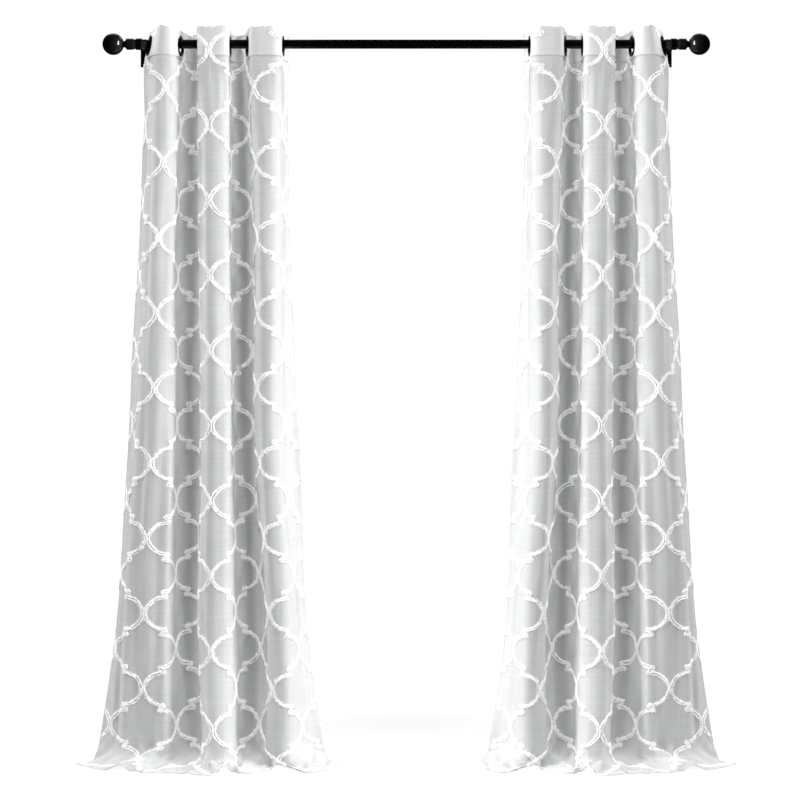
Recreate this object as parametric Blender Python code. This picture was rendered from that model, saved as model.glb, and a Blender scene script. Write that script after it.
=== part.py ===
"""A pair of sheer eyelet curtains, drawn open on a ball-ended curtain rod.

X runs along the rod, Y back to the wall and Z up from the floor. All sizes are in metres.
Each panel is modelled as the left one; the right one is its mirror image.
"""

import math
from collections import namedtuple

import bmesh
import bpy
import numpy as np
from mathutils import Matrix, Vector

# Curtain rod
ROD_RADIUS = 0.0127
ROD_HEIGHT = 2.003
ROD_Y = 0.0565
ROD_HALF_LENGTH = 0.750
ROUND_SIDES = 28
FIT_GAP = 0.0003

# Ball finial: a sleeve over the rod's end, a collar, a neck and the ball
SLEEVE_RADIUS = 0.0136
SLEEVE_INNER_X = 0.7245
COLLAR_RADIUS = 0.0157
COLLAR_INNER_X = 0.761
COLLAR_OUTER_X = 0.7805
NECK_RADIUS = 0.0086
NECK_X = 0.788
BALL_RADIUS = 0.030
BALL_X = 0.818
BALL_STEPS = 12

# Wall bracket
BRACKET_X = 0.746
WALL_Y = ROD_Y + 0.102
PLATE_WIDTH = 0.0165
PLATE_THICKNESS = 0.003
PLATE_BOTTOM = ROD_HEIGHT - 0.048
PLATE_TOP = ROD_HEIGHT + 0.027
ARM_WIDTH = 0.008
ARM_DEPTH = 0.014
LOOP_WIDTH = 0.0165
LOOP_WALL = 0.0022
CORNER_BEVEL = 0.0008

# Curtain panel
PANEL_WIDTH = 0.965
PANEL_LENGTH = 2.134
CLOTH_THICKNESS = 0.0015
CLOTH_TOP = ROD_HEIGHT + 0.038
HEADING_DEPTH = 0.076
HEADING_THICKNESS = 0.0026

# Eyelets
EYELETS = 6
EYELET_PITCH = 0.170
EDGE_FLAP = (PANEL_WIDTH - (EYELETS - 1) * EYELET_PITCH) / 2
EYELET_HOLE_RADIUS = 0.019
EYELET_BARREL_RADIUS = 0.022
EYELET_RADIUS = 0.029
EYELET_LAND = 0.0022
EYELET_THICKNESS = 0.0068
EYELET_ROUNDING = 0.0007
EYELET_SIDES = 16
FLAT_HALF_WIDTH = 0.0305

# Where the left panel's cloth crosses the line of the rod, a row for each height: the outer edge, the six eyelet
# lines and the inner edge along X, how far forward of the rod each eyelet line has come, and how firmly the
# eyelets still hold the cloth flat there.
Level = namedtuple("Level", "z outer lines inner forward held")
LEVELS = (
    Level(2.041, -0.7095, (-0.708, -0.631, -0.5775, -0.493, -0.442, -0.3455), -0.331, (0, 0, 0, 0, 0, 0), 1),
    Level(1.965, -0.7235, (-0.722, -0.631, -0.5775, -0.493, -0.442, -0.3455), -0.331, (0, 0, 0, 0, 0, 0), 1),
    Level(1.780, -0.7385, (-0.724, -0.637, -0.578, -0.492, -0.434, -0.345), -0.334, (0, 0, 0, 0, 0, 0), 0.6),
    Level(1.500, -0.752, (-0.734, -0.642, -0.5765, -0.4905, -0.4245, -0.3425), -0.329, (0, 0, 0, 0, 0, 0), 0.25),
    Level(0.870, -0.785, (-0.762, -0.646, -0.5735, -0.4845, -0.4185, -0.333), -0.299, (0, 0, 0, 0, 0, 0), 0),
    Level(
        0.312,
        -0.824,
        (-0.799, -0.652, -0.577, -0.476, -0.389, -0.297),
        -0.272,
        (0.005, 0.010, 0.020, 0.020, 0.015, 0.010),
        0,
    ),
    Level(
        0.061,
        -0.857,
        (-0.805, -0.646, -0.560, -0.473, -0.388, -0.280),
        -0.232,
        (0.022, 0.045, 0.072, 0.070, 0.058, 0.040),
        0,
    ),
)
EYELET_TURNS = tuple(math.radians(turn) for turn in (70, 80, 93, 90, 78, 87))
KNEE_Z = LEVELS[-1].z
KNEE_DROP = CLOTH_TOP - KNEE_Z

# The bottom hem where it lies on the floor: its place across the cloth, X, the distance forward of the rod, and how
# far the edge stands up off the floor.
Hem = namedtuple("Hem", "across x forward lift")
HEM = (
    Hem(0.000, -0.915, 0.042, 0.000),
    Hem(0.058, -0.873, 0.086, 0.000),
    Hem(0.120, -0.822, 0.130, 0.000),
    Hem(0.165, -0.786, 0.124, 0.012),
    Hem(0.228, -0.738, 0.158, 0.002),
    Hem(0.300, -0.672, 0.172, 0.000),
    Hem(0.398, -0.590, 0.186, 0.002),
    Hem(0.470, -0.526, 0.214, 0.000),
    Hem(0.530, -0.498, 0.166, 0.014),
    Hem(0.568, -0.476, 0.150, 0.004),
    Hem(0.625, -0.440, 0.194, 0.000),
    Hem(0.690, -0.383, 0.142, 0.000),
    Hem(0.745, -0.330, 0.110, 0.011),
    Hem(0.840, -0.262, 0.168, 0.000),
    Hem(0.908, -0.205, 0.114, 0.000),
    Hem(0.965, -0.161, 0.043, 0.000),
)

# Soft humps in the cloth that lies on the floor: place across the cloth and back from the hem, half-widths, height.
Hump = namedtuple("Hump", "across back half_width half_depth height")
HUMPS = (
    Hump(0.150, 0.045, 0.030, 0.030, 0.012),
    Hump(0.235, 0.060, 0.022, 0.045, 0.012),
    Hump(0.330, 0.040, 0.040, 0.022, 0.006),
    Hump(0.455, 0.058, 0.045, 0.026, 0.022),
    Hump(0.540, 0.050, 0.020, 0.040, 0.016),
    Hump(0.655, 0.045, 0.030, 0.030, 0.010),
    Hump(0.760, 0.050, 0.026, 0.045, 0.018),
    Hump(0.880, 0.045, 0.024, 0.030, 0.008),
)

# How the cloth bends from hanging to lying: shares of the spare length that still drop and that run flat
DROP_SHARE = 0.36
RUN_SHARE = 0.30
LEAST_RUN = 0.03
SLOPE_STEP = 0.02
FLOOR_CLEARANCE = 0.00078

BAY_COLUMNS = 6
FLAP_COLUMNS = 2
HEADING_ROWS = 2
HANGING_ROWS = 11
FLOOR_ROWS = 9
CURVE_SAMPLES = 96
SOLVER_STEPS = 25


def clear_scene():
    for old in list(bpy.data.objects):
        bpy.data.objects.remove(old, do_unlink=True)


def new_material(name, colour, roughness, metallic=0.0):
    material = bpy.data.materials.new(name)
    material.use_nodes = True
    shader = material.node_tree.nodes["Principled BSDF"]
    shader.inputs["Base Color"].default_value = (*colour, 1)
    shader.inputs["Roughness"].default_value = roughness
    shader.inputs["Metallic"].default_value = metallic
    material.diffuse_color = (*colour, 1)
    return material


def add_object(name, mesh_builder, material, smooth_angle=35):
    mesh = bpy.data.meshes.new(name)
    mesh_builder.to_mesh(mesh)
    mesh_builder.free()
    mesh.shade_smooth()
    mesh.set_sharp_from_angle(angle=math.radians(smooth_angle))
    mesh.materials.append(material)
    thing = bpy.data.objects.new(name, mesh)
    bpy.context.scene.collection.objects.link(thing)
    return thing


def add_cutter(name, mesh_builder):
    mesh = bpy.data.meshes.new(name)
    mesh_builder.to_mesh(mesh)
    mesh_builder.free()
    cutter = bpy.data.objects.new(name, mesh)
    cutter.hide_render = True
    cutter.display_type = "WIRE"
    bpy.context.scene.collection.objects.link(cutter)
    return cutter


def spun(profile, sides, is_ring=False):
    """A profile of (along X, radius) points turned about the X axis."""
    shape = bmesh.new()
    points = [shape.verts.new((along, 0, radius)) for along, radius in profile]
    pairs = list(zip(points, points[1:]))
    if is_ring:
        pairs.append((points[-1], points[0]))
    edges = [shape.edges.new(pair) for pair in pairs]
    bmesh.ops.spin(
        shape, geom=points + edges, axis=(1, 0, 0), cent=(0, 0, 0), angle=2 * math.pi, steps=sides, use_merge=True
    )
    bmesh.ops.remove_doubles(shape, verts=shape.verts, dist=1e-6)
    bmesh.ops.recalc_face_normals(shape, faces=shape.faces)
    return shape


def box(low, high):
    shape = bmesh.new()
    bmesh.ops.create_cube(shape, size=1)
    size = Vector(high) - Vector(low)
    bmesh.ops.scale(shape, vec=size, verts=shape.verts)
    bmesh.ops.translate(shape, vec=Vector(low) + size / 2, verts=shape.verts)
    return shape


def bevelled(shape, width):
    bmesh.ops.bevel(
        shape, geom=shape.edges[:], offset=width, segments=1, profile=0.5, affect="EDGES", material=-1
    )
    return shape


def add_boolean(thing, other, operation):
    cut = thing.modifiers.new(other.name, "BOOLEAN")
    cut.operation = operation
    cut.solver = "EXACT"
    cut.object = other


# ---- Rod, finials and brackets ----


def make_rod(material):
    profile = (
        (-ROD_HALF_LENGTH, 0),
        (-ROD_HALF_LENGTH, ROD_RADIUS),
        (ROD_HALF_LENGTH, ROD_RADIUS),
        (ROD_HALF_LENGTH, 0),
    )
    rod = add_object("rod", spun(profile, ROUND_SIDES), material)
    rod.location = (0, ROD_Y, ROD_HEIGHT)


def finial_profile():
    bore_radius = ROD_RADIUS + FIT_GAP
    bore_end = ROD_HALF_LENGTH + FIT_GAP
    start = math.asin(NECK_RADIUS / BALL_RADIUS)
    ball = []
    for step in range(BALL_STEPS + 1):
        angle = start + (math.pi - start) * step / BALL_STEPS
        ball.append((BALL_X - BALL_RADIUS * math.cos(angle), max(0, BALL_RADIUS * math.sin(angle))))
    ball[-1] = (BALL_X + BALL_RADIUS, 0)
    return [
        (bore_end, 0),
        (bore_end, bore_radius),
        (SLEEVE_INNER_X, bore_radius),
        (SLEEVE_INNER_X, SLEEVE_RADIUS),
        (COLLAR_INNER_X, SLEEVE_RADIUS),
        (COLLAR_INNER_X, COLLAR_RADIUS),
        (COLLAR_OUTER_X, COLLAR_RADIUS),
        (NECK_X, NECK_RADIUS),
    ] + ball


def make_finial(name, side, material):
    finial = add_object(name, spun([(side * x, radius) for x, radius in finial_profile()], ROUND_SIDES), material)
    finial.location = (0, ROD_Y, ROD_HEIGHT)


def make_bracket(name, side, material):
    """A plate on the wall, an arm forward from it and a loop that the finial's sleeve passes through."""
    loop_bore = SLEEVE_RADIUS + FIT_GAP
    loop_radius = loop_bore + LOOP_WALL
    half_loop = LOOP_WIDTH / 2
    loop = spun(
        (
            (-half_loop, loop_bore),
            (half_loop, loop_bore),
            (half_loop, loop_radius),
            (-half_loop, loop_radius),
        ),
        ROUND_SIDES,
        is_ring=True,
    )
    bmesh.ops.translate(loop, vec=(side * BRACKET_X, ROD_Y, ROD_HEIGHT), verts=loop.verts)
    bracket = add_object(name, loop, material)

    x = side * BRACKET_X
    arm = box(
        (x - ARM_WIDTH / 2, ROD_Y + loop_bore + LOOP_WALL / 3, ROD_HEIGHT - ARM_DEPTH / 2),
        (x + ARM_WIDTH / 2, WALL_Y - PLATE_THICKNESS / 2, ROD_HEIGHT + ARM_DEPTH / 2),
    )
    plate = box(
        (x - PLATE_WIDTH / 2, WALL_Y - PLATE_THICKNESS, PLATE_BOTTOM),
        (x + PLATE_WIDTH / 2, WALL_Y, PLATE_TOP),
    )
    add_boolean(bracket, add_cutter(name + "_arm", bevelled(arm, CORNER_BEVEL)), "UNION")
    add_boolean(bracket, add_cutter(name + "_plate", bevelled(plate, CORNER_BEVEL)), "UNION")


# ---- The folds of the hanging cloth, worked out in plan at each height ----


def level_at(z):
    """The row of LEVELS at any height: straight inside the heading, and a smooth curve through the rows below it."""
    heights = np.array([level.z for level in LEVELS])
    rows = np.array([(level.outer, *level.lines, level.inner, *level.forward, level.held) for level in LEVELS])
    slopes = np.gradient(rows, heights, axis=0)
    lower = int(np.clip(np.sum(heights > z), 1, len(LEVELS) - 1))
    upper = lower - 1
    span = heights[lower] - heights[upper]
    t = (z - heights[upper]) / span
    if upper == 0:
        row = rows[upper] + t * (rows[lower] - rows[upper])
    else:
        row = (
            (2 * t**3 - 3 * t**2 + 1) * rows[upper]
            + (t**3 - 2 * t**2 + t) * span * slopes[upper]
            + (3 * t**2 - 2 * t**3) * rows[lower]
            + (t**3 - t**2) * span * slopes[lower]
        )
    return Level(z, row[0], row[1:7], row[7], row[8:14], float(np.clip(row[14], 0, 1)))


def free_turn(chord, arc):
    """How far loose cloth swings off the line of the rod, where an arc of it spans a shorter chord."""
    return math.sqrt(2) * math.acos(min(0.999, chord / arc))


def eased(tau, flat):
    return np.clip((tau - flat) / (1 - 2 * flat), 0, 1)


def running_sum(angles, arc):
    steps = np.stack([np.cos(angles), np.sin(angles)], axis=1) * arc / (len(angles) - 1)
    middle = (steps[1:] + steps[:-1]) / 2
    return np.concatenate([[[0, 0]], np.cumsum(middle, axis=0)])


def bay_curve(arc, chord, rise, start_turn, end_turn, side, flat):
    """The plan of one fold between two eyelet lines. It leaves and arrives at the given angles, keeps the cloth's
    length, and is solved for how full it is and how far it leans so that it ends where the next line is."""
    tau = np.linspace(0, 1, CURVE_SAMPLES + 1)
    inner = eased(tau, flat)
    swing = ((1 - inner) * start_turn + inner * end_turn) * np.cos(math.pi * inner)

    def curve(full, lean):
        angles = side * (swing + full * np.sin(2 * math.pi * inner) + lean * np.sin(math.pi * inner))
        return running_sum(angles, arc)

    target = np.array([chord, rise])
    values = np.zeros(2)
    nudge = 1e-4
    for _ in range(SOLVER_STEPS):
        miss = curve(*values)[-1] - target
        slope = np.array([(curve(*(values + step))[-1] - target - miss) / nudge for step in np.eye(2) * nudge]).T
        values = values - np.clip(np.linalg.solve(slope, miss), -0.25, 0.25)
    return tau * arc, curve(*values)


def flap_curve(arc, chord, turn, flat):
    """The plan of the edge flap beyond the last eyelet line, from that line outwards: it curls or opens until it
    reaches across the given chord."""
    tau = np.linspace(0, 1, CURVE_SAMPLES + 1)
    bend = np.clip((tau - flat) / (1 - flat), 0, 1)
    closed, opened = math.radians(170), 0
    for _ in range(40):
        end_turn = (closed + opened) / 2
        points = running_sum(turn + (end_turn - turn) * bend, arc)
        if points[-1, 0] < chord:
            closed = end_turn
        else:
            opened = end_turn
    return tau * arc, points


def plan_at(z, across):
    """X and Y of the left panel's cloth at one height, for places across its width."""
    level = level_at(z)
    lines = np.array(level.lines)
    behind = -np.array(level.forward)
    chords = np.diff(lines)
    flap_chords = (min(lines[0] - level.outer, 0.99 * EDGE_FLAP), min(level.inner - lines[-1], 0.99 * EDGE_FLAP))
    loose = (
        [free_turn(flap_chords[0], EDGE_FLAP) / math.sqrt(2)]
        + [free_turn(chord, EYELET_PITCH) for chord in chords]
        + [free_turn(flap_chords[1], EDGE_FLAP) / math.sqrt(2)]
    )
    turns = [
        level.held * held_turn + (1 - level.held) * (loose[line] + loose[line + 1]) / 2
        for line, held_turn in enumerate(EYELET_TURNS)
    ]

    places, points = [], []
    flap_flat = level.held * FLAT_HALF_WIDTH / EDGE_FLAP
    arcs, outward = flap_curve(EDGE_FLAP, flap_chords[0], turns[0], flap_flat)
    places.append(EDGE_FLAP - arcs[::-1])
    points.append(np.stack([lines[0] - outward[::-1, 0], behind[0] + outward[::-1, 1]], axis=1))
    for bay in range(EYELETS - 1):
        side = 1 if bay % 2 else -1
        arcs, curve = bay_curve(
            EYELET_PITCH,
            chords[bay],
            behind[bay + 1] - behind[bay],
            turns[bay],
            turns[bay + 1],
            side,
            level.held * FLAT_HALF_WIDTH / EYELET_PITCH,
        )
        places.append(EDGE_FLAP + bay * EYELET_PITCH + arcs[1:])
        points.append(curve[1:] + (lines[bay], behind[bay]))
    arcs, outward = flap_curve(EDGE_FLAP, flap_chords[1], turns[-1], flap_flat)
    places.append(PANEL_WIDTH - EDGE_FLAP + arcs[1:])
    points.append(outward[1:] + (lines[-1], behind[-1]))

    places = np.concatenate(places)
    points = np.concatenate(points)
    return np.stack([np.interp(across, places, points[:, axis]) for axis in (0, 1)], axis=1)


# ---- The cloth that lies on the floor ----


def hem_at(across):
    """X, Y and Z of the bottom hem, on a smooth curve through the rows of HEM."""
    rows = np.array([(hem.x, -hem.forward, hem.lift) for hem in HEM])
    places = np.array([hem.across for hem in HEM])
    slopes = np.gradient(rows, places, axis=0)
    upper = np.clip(np.searchsorted(places, across, side="right"), 1, len(HEM) - 1)
    lower = upper - 1
    span = (places[upper] - places[lower])[:, None]
    t = (across[:, None] - places[lower][:, None]) / span
    return (
        (2 * t**3 - 3 * t**2 + 1) * rows[lower]
        + (t**3 - 2 * t**2 + t) * span * slopes[lower]
        + (3 * t**2 - 2 * t**3) * rows[upper]
        + (t**3 - t**2) * span * slopes[upper]
    )


def floor_point_rows(across, drops):
    """Rows below the knee: each line of cloth comes down, bends and runs out to the hem."""
    knee = np.column_stack([plan_at(KNEE_Z, across), np.full(len(across), KNEE_Z)])
    above_z = KNEE_Z + SLOPE_STEP
    above = np.column_stack([plan_at(above_z, across), np.full(len(across), above_z)])
    hem = hem_at(across)
    reach = hem - knee
    reach[:, 2] = 0
    spare = PANEL_LENGTH - KNEE_DROP
    down = (knee - above) / SLOPE_STEP
    run = reach / np.maximum(np.linalg.norm(reach, axis=1), LEAST_RUN)[:, None]
    first = knee + down * spare * DROP_SHARE
    second = hem - run * spare * RUN_SHARE
    rows = []
    for drop in drops:
        t = (drop - KNEE_DROP) / spare
        row = (1 - t) ** 3 * knee + 3 * (1 - t) ** 2 * t * first + 3 * (1 - t) * t**2 * second + t**3 * hem
        back = PANEL_LENGTH - drop
        for hump in HUMPS:
            spread = ((across - hump.across) / hump.half_width) ** 2 + ((back - hump.back) / hump.half_depth) ** 2
            row[:, 2] += hump.height * np.exp(-spread)
        rows.append(row)
    return rows


def cloth_rows(across, drops):
    """The middle of the cloth as rows of points, for the left panel, with Y and Z in the model's own frame."""
    rows = []
    for drop in drops:
        if drop > KNEE_DROP:
            rows.extend(floor_point_rows(across, [drop]))
            continue
        z = CLOTH_TOP - drop
        rows.append(np.column_stack([plan_at(z, across), np.full(len(across), z)]))
    grid = np.array(rows)
    grid[:, :, 1] += ROD_Y
    grid[:, :, 2] = np.maximum(grid[:, :, 2], FLOOR_CLEARANCE)
    return grid


def column_places():
    """Places across the cloth that its columns of points take: flat by each eyelet line, and even round each fold."""
    flap = np.linspace(0, EDGE_FLAP - FLAT_HALF_WIDTH, FLAP_COLUMNS + 1)
    fold = np.linspace(FLAT_HALF_WIDTH, EYELET_PITCH - FLAT_HALF_WIDTH, BAY_COLUMNS + 1)
    places = list(flap)
    for bay in range(EYELETS - 1):
        line = EDGE_FLAP + bay * EYELET_PITCH
        places.append(line)
        places.extend(line + fold)
    places.append(PANEL_WIDTH - EDGE_FLAP)
    places.extend(PANEL_WIDTH - flap[::-1])
    return np.array(places)


def make_sheet(name, side, drops, thickness, material):
    grid = cloth_rows(column_places(), drops)
    row_count, column_count = grid.shape[:2]
    shape = bmesh.new()
    rows = []
    for row in grid:
        rows.append([shape.verts.new((-side * x, y, z)) for x, y, z in row])
    for row in range(row_count - 1):
        for column in range(column_count - 1):
            shape.faces.new(
                (
                    rows[row][column],
                    rows[row + 1][column],
                    rows[row + 1][column + 1],
                    rows[row][column + 1],
                )
            )
    sheet = add_object(name, shape, material, smooth_angle=60)
    thicken = sheet.modifiers.new("thickness", "SOLIDIFY")
    thicken.thickness = thickness
    thicken.offset = 0
    return sheet


# ---- Eyelets ----


def eyelet_profile():
    half = EYELET_THICKNESS / 2
    groove = HEADING_THICKNESS / 2 + FIT_GAP
    half_profile = (
        (EYELET_LAND, EYELET_HOLE_RADIUS),
        (half, EYELET_HOLE_RADIUS + half - EYELET_LAND),
        (half - EYELET_ROUNDING, EYELET_RADIUS - EYELET_ROUNDING),
        (groove, EYELET_RADIUS),
        (groove, EYELET_BARREL_RADIUS),
    )
    return list(half_profile) + [(-along, radius) for along, radius in reversed(half_profile)]


def eyelet_matrix(index, side):
    """Where eyelet number index sits: on the rod's line, in the plane of the heading, its hole's top on the rod."""
    top, bottom = LEVELS[0], LEVELS[1]
    lean = (top.lines[index] - bottom.lines[index]) / (top.z - bottom.z)
    direction = -1 if index % 2 == 0 else 1
    turn = EYELET_TURNS[index]
    along = Vector((math.cos(turn), direction * math.sin(turn), 0))
    up = Vector((lean, 0, 1)).normalized()
    face = along.cross(up).normalized()
    up = face.cross(along).normalized()
    tilt = up.angle(Vector((0, 0, 1)))
    hole_top = EYELET_HOLE_RADIUS * math.cos(math.pi / EYELET_SIDES) * math.cos(tilt) - EYELET_LAND * math.sin(tilt)
    z = ROD_HEIGHT + ROD_RADIUS + FIT_GAP - hole_top
    x = bottom.lines[index] + lean * (z - bottom.z)
    matrix = Matrix.Identity(4)
    for axis, vector in enumerate((face, along, up)):
        matrix.col[axis][:3] = vector
    matrix.translation = (x, ROD_Y, z)
    if side > 0:
        matrix = Matrix.Scale(-1, 4, (1, 0, 0)) @ matrix @ Matrix.Scale(-1, 4, (1, 0, 0))
    return matrix


def make_eyelet(name, matrix, material):
    eyelet = add_object(name, spun(eyelet_profile(), EYELET_SIDES, is_ring=True), material)
    eyelet.matrix_world = matrix


def cut_eyelet_holes(heading, name, matrices):
    """Opens the heading round the barrel of each eyelet."""
    reach = EYELET_THICKNESS
    radius = EYELET_BARREL_RADIUS + FIT_GAP
    cutters = bmesh.new()
    for matrix in matrices:
        plug = spun(((-reach, 0), (-reach, radius), (reach, radius), (reach, 0)), EYELET_SIDES)
        plug.transform(matrix)
        mesh = bpy.data.meshes.new("plug")
        plug.to_mesh(mesh)
        plug.free()
        cutters.from_mesh(mesh)
        bpy.data.meshes.remove(mesh)
    add_boolean(heading, add_cutter(name, cutters), "DIFFERENCE")


def make_curtain(prefix, side, cloth, stiff_cloth, ring_finish):
    heading_drops = np.linspace(0, HEADING_DEPTH, HEADING_ROWS + 1)
    heading = make_sheet(prefix + "_heading", side, heading_drops, HEADING_THICKNESS, stiff_cloth)
    matrices = [eyelet_matrix(index, side) for index in range(EYELETS)]
    cut_eyelet_holes(heading, prefix + "_holes", matrices)
    for index, matrix in enumerate(matrices):
        make_eyelet(f"{prefix}_eyelet_{index + 1}", matrix, ring_finish)

    hanging = np.linspace(HEADING_DEPTH + FIT_GAP, KNEE_DROP, HANGING_ROWS + 1)
    floor = np.linspace(KNEE_DROP, PANEL_LENGTH, FLOOR_ROWS + 1)[1:]
    make_sheet(prefix + "_panel", side, np.concatenate([hanging, floor]), CLOTH_THICKNESS, cloth)


def main():
    clear_scene()
    black = new_material("black_satin_metal", (0.012, 0.012, 0.013), 0.28, 0.6)
    ring_black = new_material("black_eyelet", (0.015, 0.015, 0.016), 0.35, 0.4)
    voile = new_material("white_voile", (0.86, 0.87, 0.88), 0.8)
    band = new_material("white_heading_band", (0.92, 0.93, 0.94), 0.8)
    make_rod(black)
    for place, side in (("left", -1), ("right", 1)):
        make_finial("finial_" + place, side, black)
        make_bracket("bracket_" + place, side, black)
        make_curtain(place, side, voile, band, ring_black)
    bpy.context.view_layer.update()


main()
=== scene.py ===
import math

import bmesh
import bpy
import numpy as np
from mathutils import Matrix, Vector


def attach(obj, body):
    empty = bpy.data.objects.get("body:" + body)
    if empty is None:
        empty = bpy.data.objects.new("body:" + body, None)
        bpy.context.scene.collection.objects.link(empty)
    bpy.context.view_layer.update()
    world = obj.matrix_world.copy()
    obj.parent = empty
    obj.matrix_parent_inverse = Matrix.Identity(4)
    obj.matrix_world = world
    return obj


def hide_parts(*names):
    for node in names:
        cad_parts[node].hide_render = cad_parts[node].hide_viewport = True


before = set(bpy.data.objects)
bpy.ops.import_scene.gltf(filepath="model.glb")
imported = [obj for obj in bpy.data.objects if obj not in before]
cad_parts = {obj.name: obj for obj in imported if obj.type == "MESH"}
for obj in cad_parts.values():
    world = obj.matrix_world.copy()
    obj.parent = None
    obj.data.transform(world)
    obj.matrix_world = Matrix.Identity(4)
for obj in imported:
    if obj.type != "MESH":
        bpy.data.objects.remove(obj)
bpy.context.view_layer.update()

# Metres throughout: X along the rod, Y back to the wall, Z up from the floor.
# Every piece of the left curtain is cut flat, as (across, -drop, lift off the cloth), and then hung on its
# folds. The right curtain is its mirror image.

panel = {
    "width": 0.965,
    "length": 2.134,
    "topZ": 2.041,
    "kneeZ": 0.061,  # below this height the cloth turns forward onto the floor
    "headingDepth": 0.076,
    "rodY": 0.0565,
    "rodZ": 2.003,
    "eyelets": 6,
    "pitch": 0.170,
    "flatHalf": 0.0305,  # how far each side of an eyelet the heading stays flat
    "turns": (70, 80, 93, 90, 78, 87),  # degrees off the rod's line at each eyelet
    "floorGap": 0.0016,  # between the floor and the middle of the cloth
    "yarnGap": 0.0004,  # between the floor and whatever hangs on the folds
}
panel["flap"] = (panel["width"] - (panel["eyelets"] - 1) * panel["pitch"]) / 2
panel["kneeDrop"] = panel["topZ"] - panel["kneeZ"]
rodCentre = Vector((0, panel["rodY"], panel["rodZ"]))
print("curtain: frame loaded,", len(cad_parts), "nodes")


# ---- The folds ----

# Height, outer edge, six eyelet lines and inner edge along X, how far forward each eyelet line has come, how
# firmly the eyelets still hold the cloth flat
levelRows = np.array((
    (2.041, -.7095, -.708, -.631, -.5775, -.493, -.442, -.3455, -.331, 0, 0, 0, 0, 0, 0, 1),
    (1.965, -.7235, -.722, -.631, -.5775, -.493, -.442, -.3455, -.331, 0, 0, 0, 0, 0, 0, 1),
    (1.780, -.7385, -.724, -.637, -.578, -.492, -.434, -.345, -.334, 0, 0, 0, 0, 0, 0, .6),
    (1.500, -.752, -.734, -.642, -.5765, -.4905, -.4245, -.3425, -.329, 0, 0, 0, 0, 0, 0, .25),
    (0.870, -.785, -.762, -.646, -.5735, -.4845, -.4185, -.333, -.299, 0, 0, 0, 0, 0, 0, 0),
    (0.312, -.824, -.799, -.652, -.577, -.476, -.389, -.297, -.272, .005, .010, .020, .020, .015, .010, 0),
    (0.061, -.857, -.805, -.646, -.560, -.473, -.388, -.280, -.232, .022, .045, .072, .070, .058, .040, 0),
))

# The hem on the floor: place across the cloth, X, distance forward of the rod, lift off the floor
hemRows = np.array((
    (0.000, -.915, .042, .000),
    (0.058, -.873, .086, .000),
    (0.120, -.822, .130, .000),
    (0.165, -.786, .124, .012),
    (0.228, -.738, .158, .002),
    (0.300, -.672, .172, .000),
    (0.398, -.590, .186, .002),
    (0.470, -.526, .214, .000),
    (0.530, -.498, .166, .014),
    (0.568, -.476, .150, .004),
    (0.625, -.440, .194, .000),
    (0.690, -.383, .142, .000),
    (0.745, -.330, .110, .011),
    (0.840, -.262, .168, .000),
    (0.908, -.205, .114, .000),
    (0.965, -.161, .043, .000),
))

# Soft humps in the cloth on the floor: place across, back from the hem, half-width, half-depth, height
humpRows = (
    (.150, .045, .030, .030, .012),
    (.235, .060, .022, .045, .012),
    (.330, .040, .040, .022, .006),
    (.455, .058, .045, .026, .022),
    (.540, .050, .020, .040, .016),
    (.655, .045, .030, .030, .010),
    (.760, .050, .026, .045, .018),
    (.880, .045, .024, .030, .008),
)

bays = {
    "points": 97,
    "tautest": 0.99,  # the most that an edge's chord may be of its length
    "curledTurn": 170,
    "tries": 25, "halvings": 30, "swingStep": 0.25, "nudge": 1e-4, "closeEnough": 1e-6,
}
floorBend = {"dropShare": 0.36, "runShare": 0.30, "leastRun": 0.03, "slopeStep": 0.02}
along = np.linspace(0, 1, bays["points"])


def unit(vectors, least=1e-9):
    return vectors / np.maximum(np.linalg.norm(vectors, axis=-1, keepdims=True), least)


def smoothRows(places, rows, wanted):
    # a smooth curve through the rows, read at the wanted places
    slopes = np.gradient(rows, places, axis=0)
    upper = np.clip(np.searchsorted(places, wanted, side="right"), 1, len(places) - 1)
    lower = upper - 1
    span = (places[upper] - places[lower])[:, None]
    t = (wanted - places[lower])[:, None] / span
    return (
        (2 * t**3 - 3 * t**2 + 1) * rows[lower]
        + (t**3 - 2 * t**2 + t) * span * slopes[lower]
        + (3 * t**2 - 2 * t**3) * rows[upper]
        + (t**3 - t**2) * span * slopes[upper]
    )


def levelAt(z):
    heights, rows = levelRows[::-1, 0], levelRows[::-1, 1:]
    if z > heights[-2]:  # the heading is straight
        row = np.array([np.interp(z, heights, column) for column in rows.T])
    else:
        row = smoothRows(heights, rows, np.array([z]))[0]
    held = np.clip(row[14], 0, 1)
    return {"outer": row[0], "lines": row[1:7], "inner": row[7], "behind": -row[8:14], "held": held}


def looseTurn(chord, arc):
    return math.sqrt(2) * math.acos(min(0.999, chord / arc))


def runningSum(angles, arc):
    steps = np.stack([np.cos(angles), np.sin(angles)], axis=1) * arc / (len(angles) - 1)
    middle = (steps[1:] + steps[:-1]) / 2
    return np.concatenate([[[0, 0]], np.cumsum(middle, axis=0)])


def bayCurve(arc, target, startTurn, endTurn, side, flat):
    # one fold in plan between two eyelet lines, solved so that it ends on the next line
    inner = np.clip((along - flat) / (1 - 2 * flat), 0, 1)
    swing = ((1 - inner) * startTurn + inner * endTurn) * np.cos(math.pi * inner)
    fullness = np.sin(2 * math.pi * inner)
    leaning = np.sin(math.pi * inner)

    def curve(full, lean):
        return runningSum(side * (swing + full * fullness + lean * leaning), arc)

    values = np.zeros(2)
    nudge = bays["nudge"]
    for _ in range(bays["tries"]):
        miss = curve(*values)[-1] - target
        nudged = [curve(*(values + step))[-1] - target for step in np.eye(2) * nudge]
        slope = np.array([(place - miss) / nudge for place in nudged]).T
        values = values - np.clip(np.linalg.solve(slope, miss), -bays["swingStep"], bays["swingStep"])
        if np.abs(miss).max() < bays["closeEnough"]:
            break
    return curve(*values)


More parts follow.
